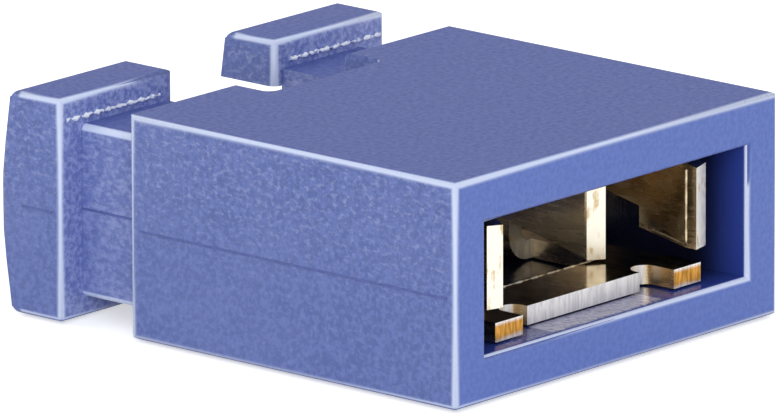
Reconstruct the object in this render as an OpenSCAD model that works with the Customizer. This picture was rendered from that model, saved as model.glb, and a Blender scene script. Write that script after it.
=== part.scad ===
// Two-position jumper shunt for a 2.54 mm pin header.
// A moulded housing, open at both ends, holds a contact that is stamped and folded
// from one strip of gold-plated sheet. The mouth faces -Y and the grip ears face +Y.
// X runs across the two posts. The origin is below the middle of the housing.

/* [Pin header] */
// Distance between the two posts that the shunt bridges
pitch = 2.54; // [2.4:0.01:2.9]
// Side of one square post
post_w = 0.64; // [0.5:0.01:0.7]

/* [Housing walls] */
// Wall at each side of the chamber
side_wall = 0.48; // [0.4:0.01:0.8]
// Wall above the chamber
roof_wall = 0.49; // [0.4:0.01:0.8]
// Wall below the chamber
floor_wall = 0.49; // [0.4:0.01:0.8]
// Length of the shoulder behind the chamber that stops the contact
shoulder_l = 0.82; // [0.75:0.01:1.2]
// Radius of the outer edges
edge_r = 0.09; // [0.03:0.01:0.14]
// Radius of the rear edges of the block
rear_r = 0.2; // [0.05:0.01:0.22]
// Radius of the edge round the mouth
mouth_r = 0.08; // [0.03:0.01:0.14]

/* [Grip ears] */
// Length of the neck that a fingernail hooks into
neck_l = 0.86; // [0.6:0.01:1.6]
// Length of a grip head at its top and underside
head_l = 0.67; // [0.5:0.01:1.2]
// How far the back of a head stands out at the parting line
head_crown = 0.17; // [0.02:0.01:0.2]
// Width of one ear, from the side of the housing to the notch
ear_w = 1.62; // [1.4:0.01:1.8]
// How far each head stands out over the notch
notch_lip = 0.11; // [0.02:0.01:0.2]
// How far the neck is set in at each side
neck_side_inset = 0.32; // [0.15:0.01:0.36]
// How far the neck is set in below the roof
neck_roof_inset = 0.31; // [0.15:0.01:0.36]
// How far the neck is set in above the underside
neck_floor_inset = 0.22; // [0.1:0.01:0.36]
// Wall of the neck above and below its throat
neck_wall = 0.3; // [0.2:0.01:0.34]
// How far the notch between the ears cuts into the block
notch_depth = 0.54; // [0.3:0.01:0.6]
// Corner radius of the heads where they face the notch
ear_corner_r = 0.1; // [0.05:0.01:0.2]
// Corner radius at the root of the notch
notch_root_r = 0.12; // [0.05:0.01:0.2]

/* [Contact sheet] */
// Thickness of the folded sheet
sheet_t = 0.2; // [0.12:0.01:0.22]
// Inside radius of each fold
fold_r = 0.1; // [0.06:0.01:0.12]
// Gap below the base of the contact
floor_clear = 0.02; // [0.01:0.01:0.06]
// Gap between the contact wings and the chamber walls, on average
wing_clear = 0.07; // [0.02:0.01:0.1]
// Share of that gap by which the loose contact lies towards -X
side_play = 0.75; // [0:0.05:0.9]
// Gap between the side flanges and the chamber walls
flange_clear = 0.2; // [0.15:0.01:0.4]
// Gap behind the contact
end_clear = 0.04; // [0.01:0.01:0.1]

/* [Contact base] */
// Distance from the mouth back to the sheared front of the base
base_setback = 0.42; // [0.36:0.01:0.6]
// Whole part of the base ahead of its window
apron_l = 0.67; // [0.5:0.01:0.9]
// Length of the window that the inner blades are folded up from
window_l = 1.75; // [1.6:0.01:2.2]
// Length of the base behind the window, with the wings that centre it
wing_l = 0.72; // [0.5:0.01:1]
// Length of the two stubs where the contact was snapped off its strip
stub_l = 0.2; // [0.1:0.01:0.3]
// Width of each stub
stub_w = 0.42; // [0.2:0.01:0.5]
// Width of the slot beside each stub
relief_w = 0.3; // [0.1:0.01:0.36]
// Depth of the slot beside each stub
relief_l = 0.2; // [0.14:0.01:0.3]

/* [Contact blades] */
// Gap between a post and the base below it
post_lift = 0.14; // [0.1:0.01:0.3]
// Room above a post, up to the roof of the chamber
head_room = 0.36; // [0.25:0.01:0.6]
// Gap between the top of the blades and the roof
blade_clear = 0.08; // [0.04:0.01:0.2]
// How far an outer blade stands into the path of its post before it springs
outer_bite = 0.12; // [0.02:0.01:0.16]
// How far an inner blade stands into the path of its post before it springs
inner_bite = 0.09; // [0.02:0.01:0.14]
// Distance from the mouth back to the tips of the outer blades
tip_setback = 0.2; // [0.1:0.01:0.3]
// Length of the tall pad at the front of an outer blade
pad_l = 0.86; // [0.6:0.01:1]
// Length of the flared lead-in at each tip
flare_l = 0.12; // [0.08:0.01:0.2]
// Angle of the lead-in of an outer blade
outer_flare = 12; // [5:1:25]
// Angle of the lead-in of an inner blade
inner_flare = 32; // [10:1:40]
// Length of the upright root of each blade
root_l = 0.6; // [0.4:0.01:0.7]
// Gap below the free part of the blades
slit_h = 0.03; // [0.02:0.01:0.06]
// Rise of the lower edge of each blade, per millimetre towards its root
blade_taper = 0.22; // [0.1:0.01:0.3]

/* [Hidden] */
$fn = 48;
cut = 0.01;

// Across: the post pair, the blades and flanges round it, the gap to the walls
post_in = pitch / 2 - post_w / 2;
post_out = pitch / 2 + post_w / 2;
flange_in = post_out + 0.03;
flange_out = flange_in + sheet_t;
chamber_half = flange_out + flange_clear;
throat_half = flange_out - 0.1;
body_w = 2 * (chamber_half + side_wall);
notch_w = body_w - 2 * ear_w;

// In height: floor, base of the contact, post, head room, roof
base_bottom = floor_wall + floor_clear;
base_top = base_bottom + sheet_t;
roof_z = base_top + post_lift + post_w + head_room;
body_h = roof_z + roof_wall;
blade_top = roof_z - blade_clear;

// Along the part, measured from the mouth
window_start = base_setback + apron_l;
window_end = window_start + window_l;
base_end = window_end + wing_l;
chamber_l = base_end + end_clear;
body_l = chamber_l + shoulder_l;
neck_end = body_l + neck_l;
total_l = neck_end + head_l + head_crown;
root_end = window_end - 0.1;
root_start = root_end - root_l;
pad_end = tip_setback + pad_l;

// ---- shared shapes ----

// What rounding takes off a corner at the origin that fills +X and +Y
module spandrel(r) {
    difference() {
        translate([-cut, -cut]) square(r + cut);
        translate([r, r]) circle(r);
    }
}

// Rectangle from the origin with its own radius at each corner,
// in the order near left, near right, far right, far left
module rounded_rect(w, h, radii) {
    difference() {
        square([w, h]);
        spandrel(radii[0]);
        translate([w, 0]) rotate(90) spandrel(radii[1]);
        translate([w, h]) rotate(180) spandrel(radii[2]);
        translate([0, h]) rotate(270) spandrel(radii[3]);
    }
}

// Profile drawn in X and Z, run along Y from y0 to y1
module run_along(y0, y1) {
    translate([0, y1, 0]) rotate([90, 0, 0]) linear_extrude(y1 - y0) children();
}

// Profile drawn in Y and Z, run along X from x0 to x1
module run_across(x0, x1) {
    translate([x0, 0, 0]) rotate([90, 0, 90]) linear_extrude(x1 - x0) children();
}

// Block with every edge rounded, given by its lowest corner and size, with plan
// radii and side radii in the order of rounded_rect
module soft_block(at, size, plan_radii, side_radii) {
    r = edge_r;
    translate(at) intersection() {
        linear_extrude(size[2]) rounded_rect(size[0], size[1], plan_radii);
        run_along(0, size[1]) rounded_rect(size[0], size[2], [r, r, r, r]);
        run_across(0, size[0]) rounded_rect(size[1], size[2], side_radii);
    }
}

// Box centred on X, from y0 to y1 and z0 to z1
module span(half, y0, y1, z0, z1) {
    translate([-half, y0, z0]) cube([2 * half, y1 - y0, z1 - z0]);
}

// Shape used on the +X side and mirrored to the -X side
module both_sides() {
    children();
    mirror([1, 0, 0]) children();
}

// ---- housing ----

module block() {
    r = edge_r;
    soft_block([-body_w / 2, 0, 0], [body_w, body_l, body_h],
               [r, r, rear_r, rear_r], [r, rear_r, r, r]);
}

module neck() {
    r = edge_r;
    half = body_w / 2 - neck_side_inset;
    lap = notch_depth + 2 * rear_r;
    z0 = neck_floor_inset;
    z1 = body_h - neck_roof_inset;
    soft_block([-half, body_l - lap, z0], [2 * half, lap + neck_l + 2 * r, z1 - z0],
               [r, r, r, r], [r, r, r, r]);
}

// Side view of a head: its back swells to the parting line at half height
module head_side() {
    r = edge_r;
    difference() {
        polygon([[0, 0], [head_l, 0], [head_l + head_crown, body_h / 2], [head_l, body_h],
                 [0, body_h]]);
        spandrel(r);
        translate([head_l, 0]) rotate(90) spandrel(r);
        translate([head_l, body_h]) rotate(180) spandrel(r);
        translate([0, body_h]) rotate(270) spandrel(r);
    }
}

// The head on the +X side; its notch corners have their own radius
module head() {
    r = edge_r;
    c = ear_corner_r;
    depth = head_l + head_crown;
    w = ear_w + notch_lip;
    translate([body_w / 2 - w, neck_end, 0]) intersection() {
        linear_extrude(body_h) rounded_rect(w, depth, [c, r, r, c]);
        run_along(0, depth) rounded_rect(w, body_h, [r, r, r, r]);
        run_across(0, w) head_side();
    }
}

// Notch that parts the ears, with rounded corners at its root
module notch() {
    r = notch_root_r;
    root = body_l - notch_depth;
    translate([-notch_w / 2, root, -cut]) linear_extrude(body_h + 2 * cut)
        difference() {
            square([notch_w, total_l - root + cut]);
            spandrel(r);
            translate([notch_w, 0]) rotate(90) spandrel(r);
        }
}

// Rounding of the mouth along its floor and roof, run past each end by extra
module mouth_rails_x(extra) {
    half = chamber_half + extra;
    translate([0, 0, floor_wall]) run_across(-half, half) mirror([0, 1]) spandrel(mouth_r);
    translate([0, 0, roof_z]) run_across(-half, half) spandrel(mouth_r);
}

// Rounding of the mouth along its two sides
module mouth_rails_z(extra) {
    both_sides() translate([chamber_half, 0, floor_wall - extra])
        linear_extrude(roof_z - floor_wall + 2 * extra) spandrel(mouth_r);
}

// The rails meet in mitres at the four corners
module mouth_rounding() {
    mouth_rails_x(0);
    mouth_rails_z(0);
    intersection() {
        mouth_rails_x(mouth_r);
        mouth_rails_z(mouth_r);
    }
}

// Everything hollow: chamber, throat through shoulder and neck, pocket in the heads
module hollow() {
    throat_z0 = neck_floor_inset + neck_wall;
    throat_z1 = body_h - neck_roof_inset - neck_wall;
    span(chamber_half, -cut, chamber_l, floor_wall, roof_z);
    span(throat_half, chamber_l - cut, neck_end + cut, throat_z0, throat_z1);
    span(chamber_half, neck_end, total_l + cut, floor_wall, roof_z);
    mouth_rounding();
}

module housing_solid() {
    difference() {
        union() {
            difference() {
                union() {
                    block();
                    neck();
                }
                notch();
            }
            both_sides() head();
        }
        hollow();
    }
}

// ---- contact ----

// Quarter ring of a fold whose centre is at the origin, bending down and to +X
module fold_ring() {
    intersection() {
        difference() {
            circle(fold_r + sheet_t);
            circle(fold_r);
        }
        translate([0, -fold_r - sheet_t]) square(fold_r + sheet_t);
    }
}

// Section of sheet that runs flat from x = flat_end, folds up and stands with its
// post-side face at x = face; side is 1 where it stands outside the post, -1 inside
module folded_section(flat_end, face, side) {
    z_fold = base_top + fold_r;
    x_fold = face - side * fold_r;
    translate([min(flat_end, x_fold), base_bottom]) square([abs(x_fold - flat_end), sheet_t]);
    translate([x_fold, z_fold]) mirror([side < 0 ? 1 : 0, 0]) fold_ring();
    translate([side < 0 ? face - sheet_t : face, z_fold]) square([sheet_t, blade_top - z_fold]);
}

// Flat base: apron, side strips round the window, rear wings and snapped stubs
module base() {
    wing_half = chamber_half - wing_clear;
    flat_half = flange_in - fold_r + cut;
    stub_in = flat_half + 0.06 - stub_w;
    difference() {
        union() {
            span(flat_half, base_setback, base_end, base_bottom, base_top);
            span(wing_half, window_end + wing_l / 3, base_end, base_bottom, base_top);
            both_sides() translate([stub_in, base_setback - stub_l, base_bottom])
                cube([stub_w, stub_l + relief_l + cut, sheet_t]);
        }
        span(window_half, window_start, window_end, base_bottom - cut, base_top + cut);
        both_sides() translate([stub_in - relief_w, 0, base_bottom - cut])
            linear_extrude(sheet_t + 2 * cut) relief_plan();
    }
}
window_half = post_in + inner_bite + fold_r + 0.05;

// Slot with a round end that frees a stub from the apron
module relief_plan() {
    r = relief_w / 2;
    translate([0, base_setback - cut]) square([relief_w, relief_l - r + cut]);
    translate([r, base_setback + relief_l - r]) circle(r);
}

// Side view of an outer blade: tall pad, rising beam and upright root
module outer_side() {
    z_tip = base_top + post_lift;
    z_beam = z_tip + 0.3;
    polygon([
        [tip_setback - 0.1, z_tip], [pad_end, z_tip + 0.08], [pad_end, z_beam],
        [root_start, z_beam + blade_taper * (root_start - pad_end)],
        [root_start, base_bottom], [root_end, base_bottom], [root_end, blade_top],
        [tip_setback + 0.16, blade_top], [tip_setback - 0.1, blade_top - 0.1]]);
}

// Plan of an outer blade: straight beam, pad leaning to the post, flared tip
module outer_plan() {
    pinch = post_out - outer_bite;
    y_pinch = tip_setback + flare_l;
    tip = pinch + flare_l * tan(outer_flare);
    back = [sheet_t * cos(outer_flare), sheet_t * sin(outer_flare)];
    polygon([
        [tip, tip_setback], [pinch, y_pinch], [flange_in, pad_end], [flange_in, root_end],
        [flange_out, root_end], [flange_out, pad_end], [pinch + sheet_t, y_pinch],
        [tip + back[0], tip_setback + back[1]]]);
}

module outer_blade() {
    intersection() {
        linear_extrude(blade_top) outer_plan();
        run_across(0, body_w / 2) outer_side();
        union() {
            span(body_w, 0, root_start, base_top, blade_top);
            run_along(root_start - cut, root_end)
                folded_section(window_half, flange_in, 1);
        }
    }
    run_along(root_start, root_end) folded_section(window_half, flange_in, 1);
}

// Side view of an inner blade: its lower edge rises towards the root
module inner_side() {
    z0 = base_top + slit_h;
    y0 = inner_tip - 0.1;
    polygon([
        [y0, z0], [window_start, z0],
        [root_start, z0 + blade_taper * (root_start - window_start)],
        [root_start, base_bottom], [root_end, base_bottom], [root_end, blade_top],
        [y0, blade_top]]);
}
inner_tip = window_start - 0.14;

// Plan of an inner blade: straight towards the front, then a steep lead-in
module inner_plan() {
    pinch = post_in + inner_bite;
    y_pinch = inner_tip + flare_l;
    tip = pinch - flare_l * tan(inner_flare);
    back = [-sheet_t * cos(inner_flare), sheet_t * sin(inner_flare)];
    y_back = y_pinch + sheet_t * tan(inner_flare / 2);
    polygon([
        [tip, inner_tip], [pinch, y_pinch], [pinch, root_end], [pinch - sheet_t, root_end],
        [pinch - sheet_t, y_back], [tip + back[0], inner_tip + back[1]]]);
}

module inner_blade() {
    pinch = post_in + inner_bite;
    intersection() {
        linear_extrude(blade_top) inner_plan();
        run_across(0, body_w / 2) inner_side();
        span(body_w, 0, root_start, base_top, blade_top);
    }
    run_along(root_start - cut, root_end) folded_section(window_half + cut, pinch, -1);
}

module contact_solid() {
    base();
    both_sides() {
        outer_blade();
        inner_blade();
    }
}

module housing() {
    color("#4a5aa8") translate([0, -total_l / 2, 0]) housing_solid();
}

module contact() {
    color("#c9a24a") translate([-side_play * wing_clear, -total_l / 2, 0]) contact_solid();
}

housing();
contact();
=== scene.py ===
"""Looks of the jumper shunt: moulded blue housing, folded plated contact, white studio.

Everything is in metres, in the frame of the CAD model: the mouth faces -Y and the underside is at z = 0.
"""

import math

import bpy
from mathutils import Matrix, Vector


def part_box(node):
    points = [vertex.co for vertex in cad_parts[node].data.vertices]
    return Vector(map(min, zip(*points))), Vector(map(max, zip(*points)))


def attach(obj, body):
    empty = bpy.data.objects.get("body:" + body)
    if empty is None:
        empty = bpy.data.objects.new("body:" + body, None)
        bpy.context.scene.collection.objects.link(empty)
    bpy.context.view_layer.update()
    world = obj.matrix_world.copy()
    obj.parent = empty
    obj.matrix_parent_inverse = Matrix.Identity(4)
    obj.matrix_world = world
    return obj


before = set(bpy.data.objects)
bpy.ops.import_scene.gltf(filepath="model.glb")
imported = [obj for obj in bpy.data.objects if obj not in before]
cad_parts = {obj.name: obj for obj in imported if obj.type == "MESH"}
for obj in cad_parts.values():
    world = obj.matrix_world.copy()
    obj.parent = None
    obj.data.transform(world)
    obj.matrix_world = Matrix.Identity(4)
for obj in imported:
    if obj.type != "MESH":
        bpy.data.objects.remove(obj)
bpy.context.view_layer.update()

MM = 0.001
HOUSING_LOW, HOUSING_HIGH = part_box("housing")
CONTACT_LOW, CONTACT_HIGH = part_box("contact")
MOUTH_Y = HOUSING_LOW.y
HEIGHT = HOUSING_HIGH.z
HALF_WIDTH = HOUSING_HIGH.x

# The cavity behind the mouth
SIDE_WALL = 0.48 * MM
FLOOR_WALL = 0.49 * MM
ROOF_WALL = 0.49 * MM
CAVITY_HALF = HALF_WIDTH - SIDE_WALL
CAVITY_LOW = FLOOR_WALL
CAVITY_HIGH = HEIGHT - ROOF_WALL
CAVITY_END = MOUTH_Y + 3.60 * MM

# The grip ears: necks behind the block, then heads
BLOCK_END = MOUTH_Y + 4.42 * MM
HEAD_START = MOUTH_Y + 5.28 * MM
NECK_INSET = 0.32 * MM
NECK_TOP = HEIGHT - 0.31 * MM
EAR_WIDTH = 1.62 * MM

# The parting line and the heads' flash
SEAM_Z = 1.15 * MM
SEAM_RADIUS = 0.012 * MM
SEAM_END_GAP = 0.12 * MM
FLASH_Z = 2.11 * MM
FLASH_RADIUS = 0.038 * MM
FLASH_STEPS = 34

# The gate's scar on the right-hand neck: distances in from the neck's side and back from the block,
# then each arc's radius, first angle and last angle
GATE_IN = 0.80 * MM
GATE_BACK = 0.52 * MM
GATE_ARCS = ((0.16 * MM, -75, 15), (0.25 * MM, -65, 5), (0.34 * MM, -50, -5))
GATE_STEPS = 12
GATE_RADIUS = 0.010 * MM

# The contact: its sheet, the broken stubs at its front, its apron and window
CONTACT_MIDDLE = (CONTACT_LOW.x + CONTACT_HIGH.x) / 2
BASE_TOP = CONTACT_LOW.z + 0.20 * MM
STUB_Y = MOUTH_Y + 0.22 * MM
APRON_Y = MOUTH_Y + 0.42 * MM
APRON_HALF = 0.87 * MM
WINDOW_Y = MOUTH_Y + 1.09 * MM
WINDOW_HALF = 1.00 * MM
BURR_RADIUS = 0.020 * MM
BURR_STEPS = 40

# The right-hand outer pad: its lower edge's back end and bend, and how its rim goes on from there
PAD_BACK = Vector((1.610, -2.02, 0.965)) * MM
PAD_BEND = Vector((1.468, -2.74, 0.900)) * MM
PAD_TOP_Z = 1.68 * MM
RIM_CORNER = 0.06 * MM
RIM_INSET = 0.045 * MM
RIM_RADIUS = 0.017 * MM

# Faces that meet at less than this are one round
ROUND_ANGLE = math.radians(60)

# The studio
FLOOR_SIZE = 1.6
FLOOR_GAP = 0.02 * MM
FLOOR_GLOW = 0.55
WORLD_STRENGTH = 0.55
LAMP_DISTANCE = 0.3


# ---------------------------------------------------------------- node helpers

def new_material(name):
    """A material with an empty node tree, and the tree's Principled shader."""
    material = bpy.data.materials.new(name)
    material.use_nodes = True
    tree = material.node_tree
    tree.nodes.clear()
    output = tree.nodes.new("ShaderNodeOutputMaterial")
    shader = tree.nodes.new("ShaderNodeBsdfPrincipled")
    tree.links.new(shader.outputs["BSDF"], output.inputs["Surface"])
    return material, tree, shader


def feed(tree, value, socket):
    """Sets a socket to a number or a colour, or links another socket to it."""
    if isinstance(value, bpy.types.NodeSocket):
        tree.links.new(value, socket)
    else:
        socket.default_value = value


def maths(tree, operation, first, second=0.0, clamp=False):
    """Result of a Math node."""
    node = tree.nodes.new("ShaderNodeMath")
    node.operation = operation
    node.use_clamp = clamp
    feed(tree, first, node.inputs[0])
    feed(tree, second, node.inputs[1])
    return node.outputs[0]


def times(tree, *values):
    """Product of several values."""
    product = values[0]
    for value in values[1:]:
        product = maths(tree, "MULTIPLY", product, value)
    return product


def rest_of(tree, share):
    """1 minus a share."""
    return maths(tree, "SUBTRACT", 1.0, share)


def ramp(tree, value, low, high, out_low=0.0, out_high=1.0):
    """Smooth step of value, from out_low at low to out_high at high."""
    node = tree.nodes.new("ShaderNodeMapRange")
    node.interpolation_type = "SMOOTHSTEP"
    feed(tree, value, node.inputs["Value"])
    node.inputs["From Min"].default_value = low
    node.inputs["From Max"].default_value = high
    node.inputs["To Min"].default_value = out_low
    node.inputs["To Max"].default_value = out_high
    return node.outputs["Result"]


def mix(tree, factor, first, second):
    """Mix of two colours."""
    node = tree.nodes.new("ShaderNodeMix")
    node.data_type = "RGBA"
    feed(tree, factor, node.inputs["Factor"])
    feed(tree, first, node.inputs["A"])
    feed(tree, second, node.inputs["B"])
    return node.outputs["Result"]


def noise(tree, place, size, detail=2.0, roughness=0.5):
    """Noise whose grains are about size across."""
    node = tree.nodes.new("ShaderNodeTexNoise")
    node.inputs["Scale"].default_value = 1 / size
    node.inputs["Detail"].default_value = detail
    node.inputs["Roughness"].default_value = roughness
    tree.links.new(place, node.inputs["Vector"])
    return node.outputs["Fac"]


def place_of(tree):
    """Position on the object, in metres."""
    return tree.nodes.new("ShaderNodeTexCoord").outputs["Object"]


def stretched(tree, place, scale):
    """Position, scaled along each axis."""
    node = tree.nodes.new("ShaderNodeMapping")
    node.inputs["Scale"].default_value = scale
    tree.links.new(place, node.inputs["Vector"])
    return node.outputs["Vector"]


def parts_of(tree, vector):
    """The X, Y and Z of a vector."""
    node = tree.nodes.new("ShaderNodeSeparateXYZ")
    tree.links.new(vector, node.inputs[0])
    return node.outputs["X"], node.outputs["Y"], node.outputs["Z"]


def normal_of(tree):
    """X, Y and Z of the surface's direction."""
    return parts_of(tree, tree.nodes.new("ShaderNodeNewGeometry").outputs["Normal"])


def bump(tree, shader, height, distance):
    """Raises the surface by height times distance, in its shading."""
    node = tree.nodes.new("ShaderNodeBump")
    node.inputs["Strength"].default_value = 1.0
    node.inputs["Distance"].default_value = distance
    tree.links.new(height, node.inputs["Height"])
    tree.links.new(node.outputs["Normal"], shader.inputs["Normal"])


# ---------------------------------------------------------------- materials

def edge_mask(tree, place, normal):
    """1 on the rounds, which face along no axis, where a pale highlight is painted. The lip's left round,
    rounds that face down under the roof, the lowest edges and the heads' backs get no painted highlight."""
    x, y, z = place
    nx, ny, nz = normal
    ax, ay, az = [maths(tree, "ABSOLUTE", part) for part in normal]
    flatness = maths(tree, "MAXIMUM", maths(tree, "MAXIMUM", ax, ay), az)
    under = times(tree, ramp(tree, nz, -0.05, -0.2), ramp(tree, z, HEIGHT * 0.6, HEIGHT * 0.65))
    lip = times(
        tree,
        ramp(tree, nx, 0.05, 0.15),
        ramp(tree, ny, -0.05, -0.15),
        ramp(tree, x, 0.0, -0.1 * MM),
    )
    return times(
        tree,
        ramp(tree, flatness, 0.997, 0.91),
        ramp(tree, z, 0.02 * MM, 0.05 * MM),
        rest_of(tree, under),
        ramp(tree, y, HOUSING_HIGH.y - 0.24 * MM, HOUSING_HIGH.y - 0.30 * MM),
        rest_of(tree, lip),
    )


def cavity_mask(tree, place):
    """1 on the walls behind the mouth."""
    x, y, z = place
    return times(
        tree,
        ramp(tree, maths(tree, "ABSOLUTE", x), CAVITY_HALF + 0.05 * MM, CAVITY_HALF + 0.01 * MM),
        ramp(tree, y, CAVITY_END + 0.05 * MM, CAVITY_END),
        ramp(tree, z, CAVITY_LOW - 0.04 * MM, CAVITY_LOW),
        ramp(tree, z, CAVITY_HIGH + 0.04 * MM, CAVITY_HIGH),
    )


def painted_reflection_mask(tree, place, normal, pits):
    """1 on the mouth's floor between the lip and the apron, with a ragged front, where a pale patch is
    painted: mostly a reflection of the sheet's cut edge, partly scraped plastic.
    """
    x, y = place[:2]
    aside = maths(tree, "ABSOLUTE", maths(tree, "SUBTRACT", x, CONTACT_MIDDLE))
    ragged = maths(tree, "ADD", y, times(tree, pits, 0.12 * MM))
    return times(
        tree,
        ramp(tree, normal[2], 0.8, 0.95),
        ramp(tree, aside, APRON_HALF, APRON_HALF - 0.04 * MM),
        ramp(tree, y, APRON_Y + 0.01 * MM, APRON_Y),
        ramp(tree, ragged, MOUTH_Y + 0.12 * MM, MOUTH_Y + 0.20 * MM),
    )


def painted_fill_share(tree, place, normal, side):
    """Share of painted fill light, a paler mottled blue: some on the necks' sides, and most on the heads'
    front faces.
    """
    y = place[1]
    behind_block = ramp(tree, y, BLOCK_END - 0.02 * MM, BLOCK_END)
    before_head = ramp(tree, y, HEAD_START, HEAD_START - 0.02 * MM)
    necks = times(tree, side, behind_block, before_head)
    faces = times(
        tree,
        ramp(tree, normal[1], -0.8, -0.98),
        ramp(tree, y, HEAD_START - 0.1 * MM, HEAD_START - 0.05 * MM),
    )
    return maths(tree, "ADD", times(tree, necks, 0.45), times(tree, faces, 0.85), clamp=True)


def blue_plastic():
    """Plastic from a spark-eroded mould: fine grain and a glossy cavity, with painted light: pale rounds, a
    deeper front, a darker top, glinting specks, paler necks and head fronts, a dark cavity and a pale
    reflection on the mouth's floor.
    """
    material, tree, shader = new_material("blue_plastic")
    spot = place_of(tree)
    place = parts_of(tree, spot)
    normal = normal_of(tree)
    y, z = place[1:]
    nx, ny, nz = normal
    edge = edge_mask(tree, place, normal)
    within = times(tree, cavity_mask(tree, place), rest_of(tree, edge))
    side = ramp(tree, maths(tree, "ABSOLUTE", nx), 0.6, 0.9)
    front = times(tree, ramp(tree, ny, -0.8, -0.98), ramp(tree, y, 0.0, -2.0 * MM))

    fine = noise(tree, spot, 0.05 * MM, detail=3.0, roughness=0.6)
    grain = noise(tree, spot, 0.06 * MM, detail=3.0, roughness=0.6)
    cloud = noise(tree, spot, 1.1 * MM, detail=3.0)
    pits = noise(tree, stretched(tree, spot, (1, 0.6, 1)), 0.05 * MM, detail=3.0, roughness=0.65)
    light = ramp(tree, grain, 0.38, 0.62)

    body = mix(tree, light, (0.082, 0.122, 0.355, 1), (0.124, 0.176, 0.460, 1))
    body = mix(tree, ramp(tree, cloud, 0.35, 0.7, 0.0, 0.35), body, (0.135, 0.180, 0.45, 1))
    # The front faces get a deeper, brighter blue: painted light, for the light that falls on them.
    painted_front_light = mix(tree, light, (0.088, 0.154, 0.500, 1), (0.108, 0.180, 0.545, 1))
    body = mix(tree, times(tree, front, 0.9), body, painted_front_light)
    # The top faces get a darker blue: painted shade.
    painted_top_shade = mix(tree, light, (0.062, 0.094, 0.345, 1), (0.092, 0.132, 0.415, 1))
    body = mix(tree, ramp(tree, nz, 0.8, 0.98, 0.0, 0.85), body, painted_top_shade)
    # Pale specks of grain on the side faces, more of them higher up: painted glints where the grain catches
    # light from above.
    upper = ramp(tree, z, 0.7 * MM, 1.9 * MM, 0.25, 1.0)
    painted_speck_glints = times(tree, ramp(tree, pits, 0.48, 0.70), side, upper, 0.40)
    body = mix(tree, painted_speck_glints, body, (0.40, 0.45, 0.72, 1))
    # The necks' sides and the heads' front faces get a paler, mottled blue: painted fill light.
    painted_fill = mix(tree, ramp(tree, pits, 0.36, 0.66), (0.135, 0.180, 0.480, 1), (0.330, 0.385, 0.700, 1))
    body = mix(tree, painted_fill_share(tree, place, normal, side), body, painted_fill)
    # The rounds get a pale lavender: a painted highlight.
    body = mix(tree, times(tree, edge, 0.94), body, (0.64, 0.72, 0.95, 1))

    # The walls behind the mouth get a dark blue that turns nearly black further in: painted shade.
    depth = ramp(tree, y, MOUTH_Y + 0.05 * MM, MOUTH_Y + 0.75 * MM)
    inside = mix(tree, depth, (0.030, 0.058, 0.32, 1), (0.008, 0.010, 0.030, 1))
    # A pale patch on the mouth's floor: mostly a painted reflection of the sheet's cut edge, partly scraped
    # plastic.
    painted_reflection = times(tree, painted_reflection_mask(tree, place, normal, pits), ramp(tree, pits, 0.3, 0.6, 0.45, 1.0))
    inside = mix(tree, painted_reflection, inside, (0.42, 0.42, 0.58, 1))
    tree.links.new(mix(tree, within, body, inside), shader.inputs["Base Color"])

    rough = ramp(tree, fine, 0.3, 0.7, 0.38, 0.52)
    rough = maths(tree, "SUBTRACT", rough, times(tree, edge, 0.12))
    rough = maths(tree, "SUBTRACT", rough, times(tree, within, 0.27))
    tree.links.new(rough, shader.inputs["Roughness"])
    shader.inputs["IOR"].default_value = 1.5
    bump(tree, shader, fine, 0.005 * MM)
    return material


def plated_metal():
    """Plated brass: dull rolled faces, bright cut edges, bare copper where the strip broke off."""
    material, tree, shader = new_material("plated_metal")
    spot = place_of(tree)
    y, z = parts_of(tree, spot)[1:]
    ny, nz = normal_of(tree)[1:]
    drawn = noise(tree, stretched(tree, spot, (1, 0.10, 1)), 0.05 * MM, detail=3.0, roughness=0.6)
    shear = noise(tree, stretched(tree, spot, (1, 1, 0.18)), 0.035 * MM, detail=2.0)
    rub = noise(tree, stretched(tree, spot, (1, 1, 0.3)), 0.07 * MM, detail=3.0, roughness=0.6)
    stain = noise(tree, spot, 0.35 * MM, detail=3.0)
    streaks = ramp(tree, shear, 0.35, 0.65)

    cut = ramp(tree, ny, -0.6, -0.85)
    low = ramp(tree, z, BASE_TOP + 0.02 * MM, BASE_TOP)
    ragged = maths(tree, "ADD", z, times(tree, stain, 0.10 * MM))
    core = times(
        tree,
        cut,
        ramp(tree, y, STUB_Y + 0.03 * MM, STUB_Y + 0.01 * MM),
        low,
        ramp(tree, z, BASE_TOP, BASE_TOP - 0.05 * MM),
        ramp(tree, ragged, CONTACT_LOW.z + 0.04 * MM, CONTACT_LOW.z + 0.10 * MM),
    )

    broad = mix(tree, ramp(tree, stain, 0.35, 0.7), (0.60, 0.46, 0.28, 1), (0.78, 0.63, 0.40, 1))
    sheared = mix(tree, streaks, (0.80, 0.78, 0.78, 1), (0.98, 0.96, 0.94, 1))
    bright = mix(tree, ramp(tree, rub, 0.52, 0.68), (0.98, 0.93, 0.80, 1), (0.66, 0.50, 0.27, 1))
    burnt = mix(tree, streaks, (0.50, 0.24, 0.04, 1), (0.86, 0.46, 0.10, 1))
    metal = mix(tree, cut, broad, mix(tree, low, bright, sheared))
    metal = mix(tree, core, metal, burnt)
    tree.links.new(metal, shader.inputs["Base Color"])
    shader.inputs["Metallic"].default_value = 1.0

    rough = ramp(tree, drawn, 0.3, 0.7, 0.20, 0.32)
    rough = maths(tree, "ADD", rough, times(tree, cut, 0.10))
    rough = maths(tree, "SUBTRACT", rough, ramp(tree, nz, 0.7, 0.95, 0.0, 0.11))
    rough = maths(tree, "ADD", rough, times(tree, cut, low, 0.18))
    tree.links.new(rough, shader.inputs["Roughness"])
    bump(tree, shader, drawn, 0.0008 * MM)
    return material


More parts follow.
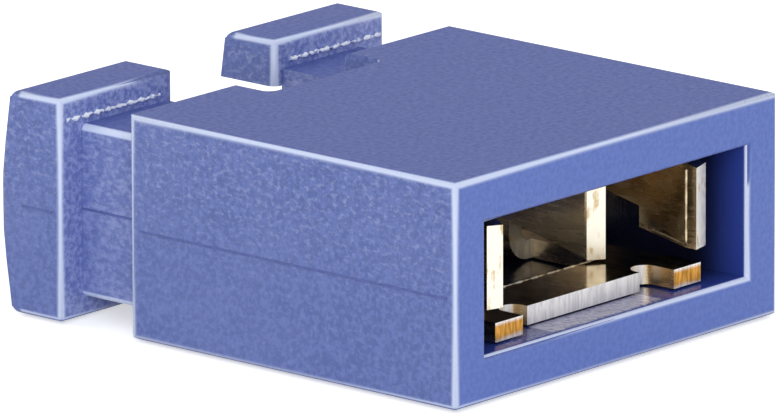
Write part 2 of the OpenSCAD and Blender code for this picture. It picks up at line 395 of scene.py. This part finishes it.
def mottled(name, size, span, dark, pale, rough, metallic=0.0):
    """Two colours in spots about size across. Span says where the one turns into the other."""
    material, tree, shader = new_material(name)
    spots = noise(tree, place_of(tree), size, detail=3.0)
    tree.links.new(mix(tree, ramp(tree, spots, *span), dark, pale), shader.inputs["Base Color"])
    tree.links.new(ramp(tree, spots, 0.3, 0.7, *rough), shader.inputs["Roughness"])
    shader.inputs["Metallic"].default_value = metallic
    return material


def rim_metal():
    """The pads' rolled rim: worn paler than the faces beside it."""
    dark = (0.42, 0.33, 0.21, 1)
    pale = (0.80, 0.70, 0.50, 1)
    return mottled("rim_metal", 0.08 * MM, (0.35, 0.7), dark, pale, (0.2, 0.36), metallic=1.0)


def burr_metal():
    """The window's burr: bare, bright and uneven."""
    dark = (0.60, 0.50, 0.34, 1)
    pale = (0.98, 0.95, 0.85, 1)
    return mottled("burr_metal", 0.05 * MM, (0.4, 0.6), dark, pale, (0.25, 0.45), metallic=1.0)


def flash_plastic():
    """Thin plastic that squeezed out or tore where the mould's parts met: paler than the walls, its
    near-white spots partly a painted highlight.
    """
    dark = (0.22, 0.27, 0.58, 1)
    pale = (0.82, 0.87, 0.97, 1)
    return mottled("flash_plastic", 0.06 * MM, (0.34, 0.54), dark, pale, (0.3, 0.45))


def seam_plastic():
    """The parting line: a shade darker than the walls."""
    dark = (0.070, 0.100, 0.31, 1)
    pale = (0.10, 0.138, 0.385, 1)
    return mottled("seam_plastic", 0.09 * MM, (0.35, 0.65), dark, pale, (0.42, 0.55))


def white_floor():
    """Matt white that the camera and the metal see as white, and that keeps a soft shadow."""
    material = bpy.data.materials.new("white_floor")
    material.use_nodes = True
    tree = material.node_tree
    tree.nodes.clear()
    output = tree.nodes.new("ShaderNodeOutputMaterial")
    matt = tree.nodes.new("ShaderNodeBsdfDiffuse")
    grain = noise(tree, place_of(tree), 2 * MM)
    tree.links.new(mix(tree, grain, (0.80, 0.80, 0.80, 1), (0.82, 0.82, 0.82, 1)), matt.inputs["Color"])
    glow = tree.nodes.new("ShaderNodeEmission")
    rays = tree.nodes.new("ShaderNodeLightPath")
    seen = maths(tree, "ADD", rays.outputs["Is Camera Ray"], rays.outputs["Is Glossy Ray"], clamp=True)
    seen = maths(tree, "ADD", seen, rays.outputs["Is Transmission Ray"], clamp=True)
    tree.links.new(times(tree, seen, FLOOR_GLOW), glow.inputs["Strength"])
    both = tree.nodes.new("ShaderNodeAddShader")
    tree.links.new(matt.outputs[0], both.inputs[0])
    tree.links.new(glow.outputs[0], both.inputs[1])
    tree.links.new(both.outputs[0], output.inputs["Surface"])
    return material


# ---------------------------------------------------------------- surfaces of the CAD nodes

def smooth_rounds(piece):
    """Shades the rounds smoothly and keeps the flats flat, with modifiers alone."""
    weld = piece.modifiers.new("weld", "WELD")
    weld.merge_threshold = 0.0005 * MM
    tree = bpy.data.node_groups.new(piece.name + "_smooth", "GeometryNodeTree")
    tree.interface.new_socket("Geometry", in_out="INPUT", socket_type="NodeSocketGeometry")
    tree.interface.new_socket("Geometry", in_out="OUTPUT", socket_type="NodeSocketGeometry")
    enter = tree.nodes.new("NodeGroupInput")
    leave = tree.nodes.new("NodeGroupOutput")
    faces = tree.nodes.new("GeometryNodeSetShadeSmooth")
    faces.domain = "FACE"
    edges = tree.nodes.new("GeometryNodeSetShadeSmooth")
    edges.domain = "EDGE"
    turn = tree.nodes.new("GeometryNodeInputMeshEdgeAngle")
    gentle = tree.nodes.new("FunctionNodeCompare")
    gentle.operation = "LESS_THAN"
    gentle.inputs["B"].default_value = ROUND_ANGLE
    tree.links.new(turn.outputs["Unsigned Angle"], gentle.inputs["A"])
    tree.links.new(gentle.outputs["Result"], edges.inputs["Shade Smooth"])
    tree.links.new(enter.outputs[0], faces.inputs["Geometry"])
    tree.links.new(faces.outputs["Geometry"], edges.inputs["Geometry"])
    tree.links.new(edges.outputs["Geometry"], leave.inputs[0])
    shade = piece.modifiers.new("shade", "NODES")
    shade.node_group = tree
    weighted = piece.modifiers.new("weighted", "WEIGHTED_NORMAL")
    weighted.keep_sharp = True
    weighted.weight = 100


def finish_node(name, material):
    """Gives a CAD node its material."""
    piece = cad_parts[name]
    piece.data.materials.clear()
    piece.data.materials.append(material)
    return piece


# ---------------------------------------------------------------- detail pieces

def bead(name, runs, radius, material):
    """Round beads along runs of points. A point may carry its own share of the radius, as a fourth number."""
    curve = bpy.data.curves.new(name, "CURVE")
    curve.dimensions = "3D"
    curve.bevel_depth = radius
    curve.bevel_resolution = 3
    curve.use_fill_caps = True
    for run in runs:
        spline = curve.splines.new("POLY")
        spline.points.add(len(run) - 1)
        for point, place in zip(spline.points, run):
            point.co = (*place[:3], 1)
            point.radius = place[3] if len(place) > 3 else 1.0
    piece = bpy.data.objects.new(name, curve)
    bpy.context.scene.collection.objects.link(piece)
    curve.materials.append(material)
    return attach(piece, "root")


def parting_lines(material):
    """A faint ridge at mid-height where the mould's halves met, along the block, the necks and the heads."""
    stretches = [
        (HALF_WIDTH, MOUTH_Y + SEAM_END_GAP, BLOCK_END - 0.22 * MM),
        (HALF_WIDTH - NECK_INSET, BLOCK_END, HEAD_START),
        (HALF_WIDTH, HEAD_START + SEAM_END_GAP, HOUSING_HIGH.y - 0.32 * MM),
    ]
    runs = []
    for side in (-1, 1):
        for out, start, end in stretches:
            runs.append([(side * out, start, SEAM_Z), (side * out, end, SEAM_Z)])
    bead("parting_line", runs, SEAM_RADIUS, material)


def head_flash(material):
    """An uneven line of flash across the front of each head."""
    outer = HALF_WIDTH - 0.10 * MM
    length = EAR_WIDTH - 0.22 * MM
    for name, side in (("left", -1), ("right", 1)):
        run = []
        for step in range(FLASH_STEPS + 1):
            out = outer - length * step / FLASH_STEPS
            swell = max(0.12, 0.5 + 0.5 * math.sin(step * 2.4) * math.sin(step * 0.83 + side))
            waver = 0.006 * MM * math.sin(step * 1.7)
            run.append((side * out, HEAD_START - 0.004 * MM, FLASH_Z + waver, swell))
        bead("head_flash_" + name, [run], FLASH_RADIUS, material)


def gate_mark(material):
    """The scar of the moulding gate on the right-hand neck: arcs of torn plastic round its middle."""
    middle = Vector((HALF_WIDTH - NECK_INSET - GATE_IN, BLOCK_END + GATE_BACK, NECK_TOP))
    runs = []
    for ring, (radius, first, last) in enumerate(GATE_ARCS):
        run = []
        for step in range(GATE_STEPS + 1):
            turn = math.radians(first + (last - first) * step / GATE_STEPS)
            place = middle + Vector((math.cos(turn), math.sin(turn), 0)) * radius
            swell = 0.5 + 0.5 * math.sin(step * 2.1 + ring) ** 2
            run.append((*place, swell))
        runs.append(run)
    bead("gate_mark", runs, GATE_RADIUS, material)


def pad_rims(material):
    """The rolled rim inside each outer blade's pad: along its lower edge, then up behind its front edge."""
    corner = PAD_BEND + Vector((0, 0, RIM_CORNER))
    top = Vector((PAD_BEND.x, PAD_BEND.y, PAD_TOP_Z))
    for name, side in (("left", -1), ("right", 1)):
        run = []
        for place in (PAD_BACK, PAD_BEND, corner, top):
            aside = place.x - CONTACT_MIDDLE - RIM_INSET
            run.append((CONTACT_MIDDLE + side * aside, place.y, place.z))
        bead("pad_rim_" + name, [run], RIM_RADIUS, material)


def window_burr(material):
    """A broken burr along the front edge of the base's window."""
    run = []
    for step in range(BURR_STEPS + 1):
        across = CONTACT_MIDDLE - WINDOW_HALF + 2 * WINDOW_HALF * step / BURR_STEPS
        swell = 0.45 + 0.55 * math.sin(step * 1.9) * math.sin(step * 0.71)
        run.append((across, WINDOW_Y, BASE_TOP, swell))
    bead("window_burr", [run], BURR_RADIUS, material)


# ---------------------------------------------------------------- studio

def add_floor():
    """A floor just under the part, so that the two don't share a plane."""
    bpy.ops.mesh.primitive_plane_add(size=FLOOR_SIZE)
    floor = bpy.context.object
    floor.name = "floor"
    floor.location.z = HOUSING_LOW.z - FLOOR_GAP
    floor.data.materials.append(white_floor())


def set_world():
    """Even light from all round, which the camera sees as white."""
    world = bpy.data.worlds.new("studio")
    bpy.context.scene.world = world
    world.use_nodes = True
    tree = world.node_tree
    tree.nodes.clear()
    output = tree.nodes.new("ShaderNodeOutputWorld")
    background = tree.nodes.new("ShaderNodeBackground")
    rays = tree.nodes.new("ShaderNodeLightPath")
    seen = rays.outputs["Is Camera Ray"]
    background.inputs["Color"].default_value = (1, 1, 1, 1)
    tree.links.new(ramp(tree, seen, 0.0, 1.0, WORLD_STRENGTH, 1.0), background.inputs["Strength"])
    tree.links.new(background.outputs[0], output.inputs["Surface"])


def add_lamp(name, direction, size, power):
    """A soft rectangular lamp that faces the object, from a direction."""
    data = bpy.data.lights.new(name, "AREA")
    data.shape = "RECTANGLE"
    data.size, data.size_y = size
    data.energy = power
    lamp = bpy.data.objects.new(name, data)
    bpy.context.scene.collection.objects.link(lamp)
    back = Vector(direction).normalized()
    lamp.location = Vector((0, 0, HEIGHT / 2)) + back * LAMP_DISTANCE
    lamp.rotation_mode = "QUATERNION"
    lamp.rotation_quaternion = back.to_track_quat("Z", "Y")


def add_lamps():
    """Two weak lamps that glance off the upper edges, and a main one beside the camera."""
    add_lamp("back_left", (-0.25, 0.64, 0.73), (0.20, 0.16), 0.15)
    add_lamp("back_right", (0.73, -0.25, 0.64), (0.16, 0.20), 0.15)
    add_lamp("camera_side", (-0.75, -0.62, 0.35), (0.22, 0.22), 0.46)


# ---------------------------------------------------------------- camera

AZIMUTH = math.radians(-48.86)
ELEVATION = math.radians(14.45)
ROLL = math.radians(-0.15)
DISTANCE = 158.1 * MM
TARGET = Vector((0, -1.06, 1.20)) * MM
ASIDE = Vector((-0.785, 0.090)) * MM
LENS = 722.9
SENSOR_WIDTH = 36


def add_camera():
    """The camera at the viewing angle, a little beside the line to its target."""
    back = Vector(
        (
            math.sin(AZIMUTH) * math.cos(ELEVATION),
            -math.cos(AZIMUTH) * math.cos(ELEVATION),
            math.sin(ELEVATION),
        )
    )
    level = Vector((0, 0, 1)).cross(back).normalized()
    right = level * math.cos(ROLL) + back.cross(level) * math.sin(ROLL)
    up = back.cross(right)
    data = bpy.data.cameras.new("camera")
    data.sensor_width = SENSOR_WIDTH
    data.lens = LENS
    data.clip_start = DISTANCE / 20
    data.clip_end = DISTANCE * 20
    camera = bpy.data.objects.new("camera", data)
    bpy.context.scene.collection.objects.link(camera)
    camera.location = TARGET + back * DISTANCE + level * ASIDE.x + back.cross(level) * ASIDE.y
    camera.rotation_mode = "QUATERNION"
    camera.rotation_quaternion = Matrix((right, up, back)).transposed().to_quaternion()
    bpy.context.scene.camera = camera


bpy.context.scene.view_settings.view_transform = "Standard"
add_camera()
add_floor()
set_world()
add_lamps()
smooth_rounds(finish_node("housing", blue_plastic()))
smooth_rounds(finish_node("contact", plated_metal()))
parting_lines(seam_plastic())
head_flash(flash_plastic())
gate_mark(flash_plastic())
pad_rims(rim_metal())
window_burr(burr_metal())
